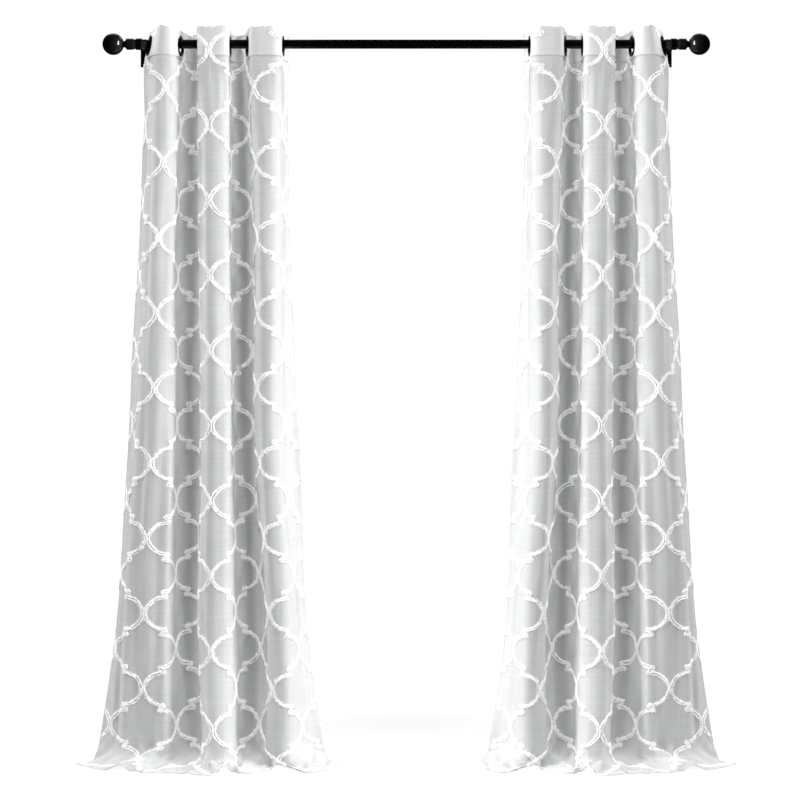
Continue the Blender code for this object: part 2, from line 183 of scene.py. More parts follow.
def flapCurve(arc, chord, turn, flat):
    # the edge beyond the last eyelet line, which curls or opens until it reaches across its chord
    bend = np.clip((along - flat) / (1 - flat), 0, 1)
    closed, opened = math.radians(bays["curledTurn"]), 0
    for _ in range(bays["halvings"]):
        endTurn = (closed + opened) / 2
        points = runningSum(turn + (endTurn - turn) * bend, arc)
        if points[-1, 0] < chord:
            closed = endTurn
        else:
            opened = endTurn
    return points


def planAt(z, across):
    # the cloth in plan at one height
    level = levelAt(z)
    lines, behind, held = level["lines"], level["behind"], level["held"]
    flap, pitch, flatHalf = panel["flap"], panel["pitch"], panel["flatHalf"]
    chords = np.diff(lines)
    edgeChords = (lines[0] - level["outer"], level["inner"] - lines[-1])
    flapChords = [min(chord, bays["tautest"] * flap) for chord in edgeChords]
    flapTurns = [looseTurn(chord, flap) / math.sqrt(2) for chord in flapChords]
    loose = [flapTurns[0]] + [looseTurn(chord, pitch) for chord in chords] + [flapTurns[1]]
    turns = [
        held * math.radians(turn) + (1 - held) * (loose[line] + loose[line + 1]) / 2
        for line, turn in enumerate(panel["turns"])
    ]
    outer, inner = (
        flapCurve(flap, chord, turn, held * flatHalf / flap)
        for chord, turn in zip(flapChords, (turns[0], turns[-1]))
    )
    places = [flap - (along * flap)[::-1]]
    points = [outer[::-1] * (-1, 1) + (lines[0], behind[0])]
    for bay in range(panel["eyelets"] - 1):
        target = np.array([chords[bay], behind[bay + 1] - behind[bay]])
        side = 1 if bay % 2 else -1
        curve = bayCurve(pitch, target, turns[bay], turns[bay + 1], side, held * flatHalf / pitch)
        places.append(flap + (bay + along[1:]) * pitch)
        points.append(curve[1:] + (lines[bay], behind[bay]))
    places.append(panel["width"] - flap + along[1:] * flap)
    points.append(inner[1:] + (lines[-1], behind[-1]))
    places, points = np.concatenate(places), np.concatenate(points)
    return np.stack([np.interp(across, places, points[:, axis]) for axis in (0, 1)], axis=1)


def levelRow(z, across):
    return np.column_stack([planAt(z, across), np.full(len(across), z)])


def floorRows(across, drops):
    knee, higher = (levelRow(panel["kneeZ"] + rise, across) for rise in (0, floorBend["slopeStep"]))
    hem = smoothRows(hemRows[:, 0], hemRows[:, 1:] * (1, -1, 1), across)
    spare = panel["length"] - panel["kneeDrop"]
    down = (knee - higher) / floorBend["slopeStep"]
    run = unit((hem - knee) * (1, 1, 0), floorBend["leastRun"])
    first = knee + down * spare * floorBend["dropShare"]
    second = hem - run * spare * floorBend["runShare"]
    rows = []
    for drop in drops:
        t = (drop - panel["kneeDrop"]) / spare
        row = (1 - t) ** 3 * knee + 3 * (1 - t) ** 2 * t * first + 3 * (1 - t) * t**2 * second + t**3 * hem
        for place, back, halfWidth, halfDepth, height in humpRows:
            spread = ((across - place) / halfWidth) ** 2 + ((panel["length"] - drop - back) / halfDepth) ** 2
            row[:, 2] += height * np.exp(-spread)
        rows.append(row)
    return rows


# ---- Small unevenness, put onto the folds ----

wrinkles = {
    "seed": 11,
    "waves": 9,
    "spread": (0.6, 1.7),  # of the wavelengths
    "long": {"size": 0.0011, "acrossWave": 0.075, "dropWave": 0.62, "from": 0.085, "full": 0.55},
    "seam": {
        "size": 0.0007, "acrossWave": 0.030, "dropWave": 0.30, "from": 0.082, "full": 0.13, "until": 0.42,
    },
    "crumple": {"size": 0.0024, "acrossWave": 0.060, "dropWave": 0.075, "from": 1.93, "full": 2.05},
}

# Creases that show: start across and drop, end across and drop, half-width, height (below nought is a trough)
creaseRows = (
    (.655, 1.93, .800, 2.134, .011, .007),
    (.700, 1.98, .760, 2.120, .012, -.004),
    (.110, 1.94, .215, 2.115, .010, .006),
    (.400, 2.03, .520, 2.085, .009, .006),
    (.430, 2.07, .500, 2.125, .008, -.004),
    (.300, 2.05, .360, 2.120, .009, .004),
    (.560, 1.97, .610, 2.110, .009, .005),
    (.850, 1.98, .900, 2.120, .010, .005),
    (.030, 1.75, .060, 2.080, .009, .003),
    (.905, 1.50, .925, 2.060, .010, .003),
    (.330, 1.35, .300, 1.90, .012, .0025),
    (.660, 1.30, .690, 1.90, .012, .0025),
    (.103, -.30, .117, 1.98, .012, -.0050),
    (.054, 0.50, .056, 2.08, .010, -.0085),
    (.080, 0.70, .084, 2.05, .009, .0025),
    (.190, 0.95, .196, 2.12, .013, .0095),
    (.444, -.10, .442, 1.98, .011, -.0050),
    (.786, 0.10, .790, 1.98, .012, -.0040),
    (.160, 0.30, .172, 1.90, .010, -.0020),
    (.505, 0.40, .492, 1.90, .010, -.0020),
)
creaseFade = {"in": (-0.05, 0.3), "out": (0.85, 1.1)}  # shares of a crease's length
foldGrid = {"columns": 323, "hangingRows": 221, "lyingRows": 61}


def ramp(value, start, end):
    t = np.clip((value - start) / (end - start), 0, 1)
    return t * t * (3 - 2 * t)


def waves(across, drop, settings, random):
    total = 0
    for _ in range(wrinkles["waves"]):
        acrossWave = settings["acrossWave"] * random.uniform(*wrinkles["spread"])
        dropWave = settings["dropWave"] * random.uniform(*wrinkles["spread"]) * random.choice((-1, 1))
        turns = across / acrossWave + drop / dropWave
        total = total + np.sin(2 * math.pi * turns + random.uniform(0, 6.28))
    shown = ramp(drop, settings["from"], settings["full"])
    if "until" in settings:
        shown = shown * (1 - ramp(drop, settings["full"], settings["until"]))
    return settings["size"] * shown * total / math.sqrt(wrinkles["waves"] / 2)


def reliefOf(across, drop):
    random = np.random.default_rng(wrinkles["seed"])
    relief = sum(waves(across, drop, wrinkles[kind], random) for kind in ("long", "seam", "crumple"))
    for startAcross, startDrop, endAcross, endDrop, halfWidth, height in creaseRows:
        runAcross, runDrop = endAcross - startAcross, endDrop - startDrop
        length = math.hypot(runAcross, runDrop)
        t = ((across - startAcross) * runAcross + (drop - startDrop) * runDrop) / length**2
        off = ((across - startAcross) * runDrop - (drop - startDrop) * runAcross) / length
        shown = ramp(t, *creaseFade["in"]) * (1 - ramp(t, *creaseFade["out"]))
        relief = relief + height * shown * np.exp(-((off / halfWidth) ** 2))
    return relief


def slopesOf(points, across, drops):
    acrossSlope = np.gradient(points, across, axis=1)
    dropSlope = np.gradient(points, drops, axis=0)
    return acrossSlope, dropSlope, unit(np.cross(dropSlope, acrossSlope))


def makeFolds():
    across = np.linspace(0, panel["width"], foldGrid["columns"])
    hanging = np.linspace(0, panel["kneeDrop"], foldGrid["hangingRows"])
    lying = np.linspace(panel["kneeDrop"], panel["length"], foldGrid["lyingRows"])[1:]
    points = np.array([levelRow(panel["topZ"] - drop, across) for drop in hanging] + floorRows(across, lying))
    points[:, :, 1] += panel["rodY"]
    drops = np.concatenate([hanging, lying])
    normals = slopesOf(points, across, drops)[2]
    acrossGrid, dropGrid = np.meshgrid(across, drops)
    points += normals * reliefOf(acrossGrid, dropGrid)[:, :, None]
    points[:, :, 2] = np.maximum(points[:, :, 2], panel["floorGap"])
    acrossSlopes, dropSlopes, normals = slopesOf(points, across, drops)
    return {"across": across, "drops": drops, "points": points, "normals": normals,
            "acrossSlopes": acrossSlopes, "dropSlopes": dropSlopes}


folds = makeFolds()
print("curtain: folds worked out")


def readFolds(kind, across, drop):
    # a value on the folds at any place, between the nearest worked-out ones
    values = folds[kind]
    row = np.interp(drop, folds["drops"], np.arange(len(folds["drops"])))
    column = np.interp(across, folds["across"], np.arange(len(folds["across"])))
    upper = np.minimum(row.astype(int), values.shape[0] - 2)
    left = np.minimum(column.astype(int), values.shape[1] - 2)
    down, right = (row - upper)[:, None], (column - left)[:, None]
    return (
        values[upper, left] * (1 - down) * (1 - right)
        + values[upper, left + 1] * (1 - down) * right
        + values[upper + 1, left] * down * (1 - right)
        + values[upper + 1, left + 1] * down * right
    )


def clothWays(across, drop):
    # across the cloth, down it and off it, at any place
    return (
        unit(readFolds("acrossSlopes", across, drop)),
        unit(readFolds("dropSlopes", across, drop)),
        readFolds("normals", across, drop),
    )


def hang(across, drop, lift):
    places = readFolds("points", across, drop) + readFolds("normals", across, drop) * lift[:, None]
    places[:, 2] += np.maximum(-drop, 0)  # above the top line the heading stands straight up
    places[:, 2] = np.maximum(places[:, 2], panel["yarnGap"])
    return places


# ---- Making and finishing pieces ----


def meshOf(name, shape):
    mesh = bpy.data.meshes.new(name)
    shape.to_mesh(mesh)
    shape.free()
    return mesh


def addObject(name, data):
    item = bpy.data.objects.new(name, data)
    bpy.context.scene.collection.objects.link(item)
    return item


def addPiece(name, mesh, material):
    mesh.shade_smooth()
    mesh.materials.append(material)
    return addObject(name, mesh)


def sharpened(piece, angle):
    # smooth, but for edges that turn by more than the angle
    piece.data.shade_smooth()
    piece.data.set_sharp_from_angle(angle=math.radians(angle))
    return piece


def addShape(name, shape, material, sharpFrom=None):
    piece = addPiece(name, meshOf(name, shape), material)
    return sharpened(piece, sharpFrom) if sharpFrom else piece


def shift(shape, vector):
    bmesh.ops.translate(shape, vec=vector, verts=shape.verts)
    return shape


def coneShape(sides, depth, place):
    # a cone without its end face, whose axis is turned from Z to X
    shape = bmesh.new()
    bmesh.ops.create_cone(shape, cap_ends=False, segments=sides, radius1=1, radius2=0, depth=depth)
    shift(shape, (0, 0, place))
    bmesh.ops.rotate(shape, cent=(0, 0, 0), matrix=Matrix.Rotation(math.pi / 2, 3, "Y"), verts=shape.verts)
    return shape


def box(low, high, edge=0):
    shape = bmesh.new()
    bmesh.ops.create_cube(shape, size=1)
    size = Vector(high) - Vector(low)
    bmesh.ops.scale(shape, vec=size, verts=shape.verts)
    shift(shape, Vector(low) + size / 2)
    if edge:
        bmesh.ops.bevel(shape, geom=shape.edges[:], offset=edge, segments=3, profile=0.5, affect="EDGES",
                        material=-1)
    return shape


def gridShape(columns, rows):
    shape = bmesh.new()
    bmesh.ops.create_grid(shape, x_segments=columns, y_segments=rows, size=0.5)
    return shape


def flatPoints(mesh):
    points = np.empty(len(mesh.vertices) * 3, np.float32)
    mesh.vertices.foreach_get("co", points)
    return points.reshape(-1, 3).astype(float)


def mapCloth(mesh, flat):
    # the weave is laid out in metres across and down the cloth
    corners = np.empty(len(mesh.loops), np.int32)
    mesh.loops.foreach_get("vertex_index", corners)
    layer = mesh.uv_layers.new(name="clothMap")
    layer.uv.foreach_set("vector", flat[corners, :2].astype(np.float32).ravel())


def hangPiece(piece, fold=None):
    mesh = piece.data
    flat = flatPoints(mesh)
    mapCloth(mesh, flat)
    across, drop, lift = flat[:, 0], -flat[:, 1], flat[:, 2]
    if fold:
        across, drop, lift = fold(across, drop, lift)
    mesh.vertices.foreach_set("co", hang(across, drop, lift).astype(np.float32).ravel())
    mesh.update()


def mirroredPiece(piece, name):
    twin = piece.copy()
    twin.data = piece.data.copy()
    twin.name = twin.data.name = name
    bpy.context.scene.collection.objects.link(twin)
    shape = bmesh.new()
    shape.from_mesh(twin.data)
    bmesh.ops.scale(shape, vec=(-1, 1, 1), verts=shape.verts)
    bmesh.ops.reverse_faces(shape, faces=shape.faces[:])
    shape.to_mesh(twin.data)
    shape.free()
    return twin


def thicken(piece, thickness):
    step = piece.modifiers.new("thickness", "SOLIDIFY")
    step.thickness = thickness
    step.offset = 0


def withModifiers(piece):
    # the piece's mesh with its modifiers made real
    bpy.context.view_layer.update()
    done = bpy.data.meshes.new_from_object(piece.evaluated_get(bpy.context.evaluated_depsgraph_get()))
    piece.modifiers.clear()
    old = piece.data
    piece.data = done
    bpy.data.meshes.remove(old)


def combine(piece, shape, operation):
    # the piece joined with another closed shape, or with that shape cut out of it
    other = addShape("other", shape, piece.data.materials[0])
    step = piece.modifiers.new("combine", "BOOLEAN")
    step.operation = operation
    step.object = other
    withModifiers(piece)
    bpy.data.objects.remove(other)


def finish(piece, slot, *nodes):
    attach(piece, "root")
    if nodes:
        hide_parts(*nodes)
    return piece


# ---- Finishes ----


def addNode(tree, kind, **values):
    node = tree.nodes.new(kind)
    for name, value in values.items():
        setattr(node, name, value)
    return node


def setInputs(node, values):
    for name, value in values.items():
        node.inputs[name].default_value = value


def addMath(tree, operation, first, second):
    node = addNode(tree, "ShaderNodeMath", operation=operation)
    for socket, value in zip(node.inputs, (first, second)):
        if isinstance(value, (int, float)):
            socket.default_value = value
        else:
            tree.links.new(value, socket)
    return node.outputs[0]


def addRange(tree, value, low, high, start, end):
    node = addNode(tree, "ShaderNodeMapRange")
    tree.links.new(value, node.inputs["Value"])
    setInputs(node, {"From Min": low, "From Max": high, "To Min": start, "To Max": end})
    return node.outputs["Result"]


def addNoise(tree, vector, scale, detail=2.0, roughness=0.5):
    node = addNode(tree, "ShaderNodeTexNoise")
    tree.links.new(vector, node.inputs["Vector"])
    setInputs(node, {"Scale": scale, "Detail": detail, "Roughness": roughness})
    return node.outputs["Fac"]


def addStretchedNoise(tree, vector, stretch, detail, roughness):
    node = addNode(tree, "ShaderNodeMapping")
    tree.links.new(vector, node.inputs["Vector"])
    setInputs(node, {"Scale": stretch})
    return addNoise(tree, node.outputs["Vector"], 1.0, detail, roughness)


def newGroup(name, place, setting, value, amount):
    # an effect with one place and one setting, which gives how much of it there is and its relief
    group = bpy.data.node_groups.new(name, "ShaderNodeTree")
    for socketName, side, kind in (
        (place, "INPUT", "NodeSocketVector"), (setting, "INPUT", "NodeSocketFloat"),
        (amount, "OUTPUT", "NodeSocketFloat"), ("Relief", "OUTPUT", "NodeSocketFloat"),
    ):
        socket = group.interface.new_socket(name=socketName, in_out=side, socket_type=kind)
        if socketName == setting:
            socket.default_value = value
    given, made = addNode(group, "NodeGroupInput"), addNode(group, "NodeGroupOutput")
    return group, given.outputs[place], given.outputs[setting], made


def makeWeaveGroup():
    # plain open weave: fine warp and weft, with thick and thin yarns that run a long way
    yarnsPerMetre = 900.0
    group, where, slub, made = newGroup("openWeave", "Cloth Map", "Slub", 0.5, "Density")
    weft = addStretchedNoise(group, where, (7, 330, 1), 3.0, 0.6)
    warp = addStretchedNoise(group, where, (300, 4, 1), 3.0, 0.6)
    cloudy = addNoise(group, where, 16.0, 3.0)
    separate = addNode(group, "ShaderNodeSeparateXYZ")
    group.links.new(where, separate.inputs[0])
    threads = []
    for axis in ("X", "Y"):
        phase = addMath(group, "MULTIPLY", separate.outputs[axis], yarnsPerMetre)
        turned = addMath(group, "MULTIPLY", phase, 2 * math.pi)
        threads.append(addMath(group, "SINE", turned, 0))
    grid = addMath(group, "MAXIMUM", *threads)
    streaks = addMath(group, "ADD", weft, warp)
    uneven = addMath(group, "MULTIPLY", addMath(group, "SUBTRACT", streaks, 1.0), slub)
    density = addMath(group, "ADD", addRange(group, grid, -0.6, 1.0, 0.35, 0.62), uneven)
    density = addMath(group, "ADD", density, addRange(group, cloudy, 0.3, 0.7, -0.06, 0.06))
    group.links.new(density, made.inputs["Density"])
    relief = addMath(group, "ADD", addMath(group, "MULTIPLY", grid, 0.3), streaks)
    group.links.new(relief, made.inputs["Relief"])
    return group


def makeFuzzGroup():
    # soft clipped yarn: loops and hairs in every direction, with painted shade in the hollows between the
    # loops
    group, place, loopsPerMetre, made = newGroup("clippedYarn", "Place", "Loops Per Metre", 420.0, "Shade")
    loops = addNode(group, "ShaderNodeTexVoronoi")
    group.links.new(place, loops.inputs["Vector"])
    group.links.new(loopsPerMetre, loops.inputs["Scale"])
    hairs = addNoise(group, place, 1500.0, 3.0, 0.7)
    patches = addNoise(group, place, 70.0, 2.0)
    # painted shade: the yarn is darker toward the edge of each loop, where its relief is low; the patches add
    # tone that differs at random
    depth = addRange(group, loops.outputs["Distance"], 0, 0.9, 0.55, 0.1)
    shade = addMath(group, "ADD", depth, addRange(group, patches, 0.3, 0.7, -0.1, 0.45))
    group.links.new(shade, made.inputs["Shade"])
    relief = addMath(group, "SUBTRACT", addMath(group, "MULTIPLY", hairs, 0.5), loops.outputs["Distance"])
    group.links.new(relief, made.inputs["Relief"])
    return group


def makePaintGroup():
    # smooth stoved paint: faint orange peel, a little dust and rubbing
    group, place, rubbing, made = newGroup("stovedPaint", "Place", "Rubbing", 0.5, "Wear")
    rubbed = addStretchedNoise(group, place, (14, 120, 120), 4.0, 0.65)
    wear = addMath(group, "MULTIPLY", addRange(group, rubbed, 0.35, 0.75, 0, 1), rubbing)
    group.links.new(wear, made.inputs["Wear"])
    group.links.new(addNoise(group, place, 380.0, 2.0), made.inputs["Relief"])
    return group


weave, fuzz, paint = makeWeaveGroup(), makeFuzzGroup(), makePaintGroup()

# The looks run from the least to the most of what the effect gives: density, painted shade with some random
# tone, or wear
voileLook = {
    "effect": weave, "settings": {"Slub": 0.55},
    "constants": {"Specular IOR Level": 0.2, "Sheen Weight": 1.0, "Sheen Roughness": 0.3},
    "colours": ((0.52, 0.527, 0.532), (0.68, 0.688, 0.692)), "roughness": (0.95, 0.75),
    "alphaFrom": (0.1, 0.9), "alpha": (0.70, 0.89),
    "bump": (0.35, 0.0006),
}
bandLook = {
    "effect": weave, "settings": {"Slub": 0.4},
    "constants": {"Specular IOR Level": 0.2, "Sheen Weight": 0.2, "Sheen Roughness": 0.4},
    "colours": ((0.60, 0.607, 0.612), (0.74, 0.746, 0.75)), "roughness": (0.95, 0.8),
    "bump": (0.3, 0.0006),
}
glowingYarnLook = {
    "effect": fuzz, "settings": {},
    "constants": {
        "Specular IOR Level": 0.15, "Sheen Weight": 0.3, "Sheen Roughness": 0.5,
        # painted light: the yarn glows a little, though it is no lamp, so the trellis, threads and stitches
        # stay bright in the shade of the folds
        "Emission Color": (1, 1, 1, 1), "Emission Strength": 0.18,
    },
    "colours": ((0.80, 0.805, 0.81), (0.96, 0.96, 0.96)), "roughness": (0.95, 0.8),
    "bump": (0.6, 0.0008),
}


def blackLook(rubbing, roughness, coat):
    return {
        "effect": paint, "settings": {"Rubbing": rubbing},
        "constants": {"Specular IOR Level": 0.04, "Coat Weight": coat, "Coat Roughness": 0.07},
        "colours": ((0.0025, 0.0025, 0.0027), (0.007, 0.007, 0.0075)), "roughness": roughness,
        "bump": (0.06, 0.0003),
    }


def linkColour(tree, shader, mask, low, high):
    mix = addNode(tree, "ShaderNodeMix", data_type="RGBA")
    mix.inputs[6].default_value = (*low, 1)
    mix.inputs[7].default_value = (*high, 1)
    tree.links.new(mask, mix.inputs[0])
    tree.links.new(mix.outputs[2], shader.inputs["Base Color"])


def newMaterial(name, constants):
    material = bpy.data.materials.new(name)
    material.use_nodes = True
    shader = material.node_tree.nodes["Principled BSDF"]
    setInputs(shader, constants)
    return material, material.node_tree, shader


def makeFinish(name, look):
    material, tree, shader = newMaterial(name, look["constants"])
    effect = addNode(tree, "ShaderNodeGroup", node_tree=look["effect"])
    setInputs(effect, look["settings"])
    if look["effect"] == weave:
        source = addNode(tree, "ShaderNodeUVMap", uv_map="clothMap").outputs["UV"]
    else:
        source = addNode(tree, "ShaderNodeTexCoord").outputs["Object"]
    tree.links.new(source, effect.inputs[0])
    amount, relief = effect.outputs[:]
    linkColour(tree, shader, amount, *look["colours"])
    tree.links.new(addRange(tree, amount, 0, 1, *look["roughness"]), shader.inputs["Roughness"])
    if "alpha" in look:
        tree.links.new(addRange(tree, amount, *look["alphaFrom"], *look["alpha"]), shader.inputs["Alpha"])
    bump = addNode(tree, "ShaderNodeBump")
    setInputs(bump, dict(zip(("Strength", "Distance"), look["bump"])))
    tree.links.new(relief, bump.inputs["Height"])
    tree.links.new(bump.outputs["Normal"], shader.inputs["Normal"])
    return material


voile = makeFinish("sheerVoile", voileLook)
band = makeFinish("headingBand", bandLook)
yarn = makeFinish("clippedYarn", glowingYarnLook)
paintedMetal = makeFinish("blackPaintedMetal", blackLook(0.5, (0.40, 0.55), 0.5))
ringMetal = makeFinish("blackRing", blackLook(0.6, (0.38, 0.5), 0.05))


# ---- Curtain rod, finials and brackets ----


def spun(profile, sides, isRing=False):
    # a profile of (along X, radius) points turned about the X axis
    shape = bmesh.new()
    points = [shape.verts.new((place, 0, radius)) for place, radius in profile]
    pairs = list(zip(points, points[1:]))
    if isRing:
        pairs.append((points[-1], points[0]))
    edges = [shape.edges.new(pair) for pair in pairs]
    bmesh.ops.spin(shape, geom=points + edges, axis=(1, 0, 0), cent=(0, 0, 0), angle=2 * math.pi, steps=sides,
                   use_merge=True)
    bmesh.ops.remove_doubles(shape, verts=shape.verts, dist=1e-6)
    bmesh.ops.recalc_face_normals(shape, faces=shape.faces)
    return shape


def arcPoints(centre, radius, start, end, steps):
    angles = [math.radians(start + (end - start) * step / steps) for step in range(steps + 1)]
    return [(centre[0] + radius * math.cos(angle), centre[1] + radius * math.sin(angle)) for angle in angles]


rod = {"radius": 0.0127, "halfLength": 0.750, "sides": 64, "endRound": 0.0012, "sharpFrom": 40}


def makeRod():
    end, radius, edge = rod["halfLength"], rod["radius"], rod["endRound"]
    half = [(end, 0)] + arcPoints((end - edge, radius - edge), edge, 0, 90, 4)
    shape = shift(spun(half + [(-place, r) for place, r in reversed(half)], rod["sides"]), rodCentre)
    return finish(addShape("curtainRod", shape, paintedMetal, rod["sharpFrom"]), "rod", "rod")


finial = {
    "fit": 0.0003, "sides": 72, "sharpFrom": 38,
    "sleeveRadius": 0.0136, "sleeveX": 0.7245, "sleeveChamfer": (0.0004, 0.0003),
    "fillet": (0.0011, 0.0003, 0.0004),  # where the sleeve meets the collar: start, end and height
    "collarRadius": 0.0157, "collarX": (0.761, 0.7805), "collarEdge": 0.0009,
    "neckRadius": 0.0086, "neckX": 0.788, "neckStart": (0.0009, 0.0026), "neckSag": 0.0009, "neckSteps": 6,
    "ballRadius": 0.030, "ballX": 0.818, "ballSteps": 36,
}


def finialProfile():
    part = finial
    bore, boreEnd = rod["radius"] + part["fit"], rod["halfLength"] + part["fit"]
    start, sleeve = part["sleeveX"], part["sleeveRadius"]
    collar, edge = part["collarRadius"], part["collarEdge"]
    inner, outer = part["collarX"]
    chamfer, chamferDepth = part["sleeveChamfer"]
    filletStart, filletEnd, filletHeight = part["fillet"]
    profile = [(boreEnd, 0), (boreEnd, bore), (start, bore), (start, sleeve - chamferDepth)]
    profile += [(start + chamfer, sleeve), (inner - filletStart, sleeve)]
    profile += [(inner - filletEnd, sleeve + filletHeight), (inner, collar - edge)]
    profile += arcPoints((inner + edge, collar - edge), edge, 165, 90, 4)
    profile += arcPoints((outer - edge, collar - edge), edge, 90, 25, 4)
    neckStart = (outer + part["neckStart"][0], collar - part["neckStart"][1])
    neckEnd = (part["neckX"], part["neckRadius"])
    for step in range(1, part["neckSteps"] + 1):  # the collar sweeps down to the neck in a hollow curve
        t = step / part["neckSteps"]
        x, radius = (near + (far - near) * t for near, far in zip(neckStart, neckEnd))
        profile.append((x, radius - part["neckSag"] * math.sin(math.pi * t)))
    neckAngle = math.degrees(math.asin(part["neckRadius"] / part["ballRadius"]))
    ball = arcPoints((part["ballX"], 0), part["ballRadius"], 180 - neckAngle, 0, part["ballSteps"])
    return profile + ball[1:-1] + [(part["ballX"] + part["ballRadius"], 0)]


def makeFinial(name, side, node):
    shape = spun([(side * place, radius) for place, radius in finialProfile()], finial["sides"])
    return finish(addShape(name, shift(shape, rodCentre), paintedMetal, finial["sharpFrom"]), "rod", node)


bracket = {
    "x": 0.746, "wallY": 0.1585, "edge": 0.0008, "sides": 72, "sharpFrom": 35,
    "plateWidth": 0.0165, "plateThickness": 0.003, "plateZ": (1.955, 2.030),
    "armWidth": 0.008, "armDepth": 0.014,
    "loopWidth": 0.0165, "loopWall": 0.0022, "loopEdge": 0.0005,
}
screw = {
    "z": (1.966, 2.0215), "radius": 0.0036, "dome": 0.0014, "inset": 0.0006, "sides": 24,
    "slotWidth": 0.0009, "slotHalfDepth": 0.0008, "domeAngles": (0, 20, 40, 60, 78),
}


def screwHead(place):
    # a domed head that faces forward off the plate, with a driver slot
    radius, dome, slotDepth = screw["radius"], screw["dome"], screw["slotHalfDepth"]
    angles = [math.radians(angle) for angle in screw["domeAngles"]]
    domed = [(-dome * math.sin(angle), radius * math.cos(angle)) for angle in angles]
    profile = [(screw["inset"], 0), (screw["inset"], radius)] + domed + [(-dome, 0)]
    piece = addShape("screw", spun(profile, screw["sides"]), paintedMetal)
    reach = Vector((slotDepth, 1.5 * radius, screw["slotWidth"] / 2))
    combine(piece, shift(box(-reach, reach), (-dome, 0, 0)), "DIFFERENCE")
    done = bmesh.new()
    done.from_mesh(piece.data)
    bpy.data.objects.remove(piece)
    turn = Matrix.Translation(place) @ Matrix.Rotation(math.pi / 2, 4, "Z")
    bmesh.ops.transform(done, matrix=turn, verts=done.verts)
    return done


def makeBracket(name, side, node):
    part = bracket
    x, wall, plateFront = side * part["x"], part["wallY"], part["wallY"] - part["plateThickness"]
    bore = finial["sleeveRadius"] + finial["fit"]
    outer, half, edge = bore + part["loopWall"], part["loopWidth"] / 2, part["loopEdge"]
    ring = [(-half, bore), (half, bore)] + arcPoints((half - edge, outer - edge), edge, 0, 90, 3)
    ring += arcPoints((-half + edge, outer - edge), edge, 90, 180, 3)
    loop = shift(spun(ring, part["sides"], isRing=True), rodCentre + Vector((x, 0, 0)))
    piece = addShape(name, loop, paintedMetal)
    armHalf = Vector((part["armWidth"] / 2, 0, part["armDepth"] / 2))
    armStart = Vector((x, panel["rodY"] + bore + part["loopWall"] / 3, panel["rodZ"]))
    armEnd = Vector((x, wall - part["plateThickness"] / 2, panel["rodZ"]))
    combine(piece, box(armStart - armHalf, armEnd + armHalf, part["edge"]), "UNION")
    bottom, top = part["plateZ"]
    plateHalf = part["plateWidth"] / 2
    plate = box((x - plateHalf, plateFront, bottom), (x + plateHalf, wall, top), part["edge"])
    combine(piece, plate, "UNION")
    for z in screw["z"]:
        combine(piece, screwHead((x, plateFront, z)), "UNION")
    return finish(sharpened(piece, part["sharpFrom"]), "rod", node)


makeRod()
for place, side in (("left", -1), ("right", 1)):
    makeFinial(place + "Finial", side, "finial_" + place)
    makeBracket(place + "Bracket", side, "bracket_" + place)
print("curtain: rod, finials and brackets")


# ---- Eyelets ----

eyelet = {
    "hole": 0.019, "barrel": 0.022, "radius": 0.029, "land": 0.0022, "thickness": 0.0068,
    "rounding": 0.0012, "groove": 0.0016, "grooveStep": 0.0002, "sides": 72, "cadSides": 16, "sharpFrom": 40,
}


def eyeletProfile():
    part = eyelet
    half, rounding = part["thickness"] / 2, part["rounding"]
    innerCorner = (half - rounding, part["hole"] + half - part["land"] + rounding * 0.4)
    outerCorner = (half - rounding, part["radius"] - rounding)
    oneSide = [(part["land"], part["hole"])]
    oneSide += arcPoints(innerCorner, rounding, -50, 0, 4)
    oneSide += arcPoints(outerCorner, rounding, 0, 90, 5)
    oneSide += [(part["groove"], part["radius"] - part["grooveStep"]), (part["groove"], part["barrel"])]
    return oneSide + [(-place, radius) for place, radius in reversed(oneSide)]


def eyeletMatrix(index):
    # the eyelet hangs on the rod by the top of its hole, and turns and leans with the heading
    top, bottom = levelRows[0], levelRows[1]
    lean = (top[2 + index] - bottom[2 + index]) / (top[0] - bottom[0])
    direction = -1 if index % 2 == 0 else 1
    turn = math.radians(panel["turns"][index])
    sideways = Vector((math.cos(turn), direction * math.sin(turn), 0))
    face = sideways.cross(Vector((lean, 0, 1)).normalized()).normalized()
    up = face.cross(sideways).normalized()
    tilt = up.angle(Vector((0, 0, 1)))
    flatTop = eyelet["hole"] * math.cos(math.pi / eyelet["cadSides"])
    holeTop = flatTop * math.cos(tilt) - eyelet["land"] * math.sin(tilt)
    z = panel["rodZ"] + rod["radius"] + finial["fit"] - holeTop
    matrix = Matrix.Identity(4)
    for axis, vector in enumerate((face, sideways, up)):
        matrix.col[axis][:3] = vector
    matrix.translation = (bottom[2 + index] + lean * (z - bottom[0]), panel["rodY"], z)
    return matrix


eyeletPlaces = [eyeletMatrix(index) for index in range(panel["eyelets"])]
eyeletSpots = [  # on the flat cloth, across and down
    (panel["flap"] + index * panel["pitch"], panel["topZ"] - matrix.translation.z)
    for index, matrix in enumerate(eyeletPlaces)
]


def makeEyelets():
    rings = {"left": [], "right": []}
    for number, matrix in enumerate(eyeletPlaces, 1):
        shape = spun(eyeletProfile(), eyelet["sides"], isRing=True)
        bmesh.ops.transform(shape, matrix=matrix, verts=shape.verts)
        ring = addShape(f"leftEyelet{number}", shape, ringMetal, eyelet["sharpFrom"])
        twin = mirroredPiece(ring, f"rightEyelet{number}")
        rings["left"].append(finish(ring, "eyelet", f"left_eyelet_{number}"))
        rings["right"].append(finish(twin, "eyelet", f"right_eyelet_{number}"))
    return rings


rings = makeEyelets()
print("curtain: eyelets")


# ---- Cloth and heading band ----

cloth = {
    "thickness": 0.0005,
    "columns": 150,
    "hangingRows": 140,
    "lyingRows": 34,
    "lyingFrom": 0.06,  # above the knee, where the rows get closer
    "sideHem": 0.020,
    "bottomHem": 0.040,
    "hemRadius": 0.0005,
    "seamGap": 0.0003,
}


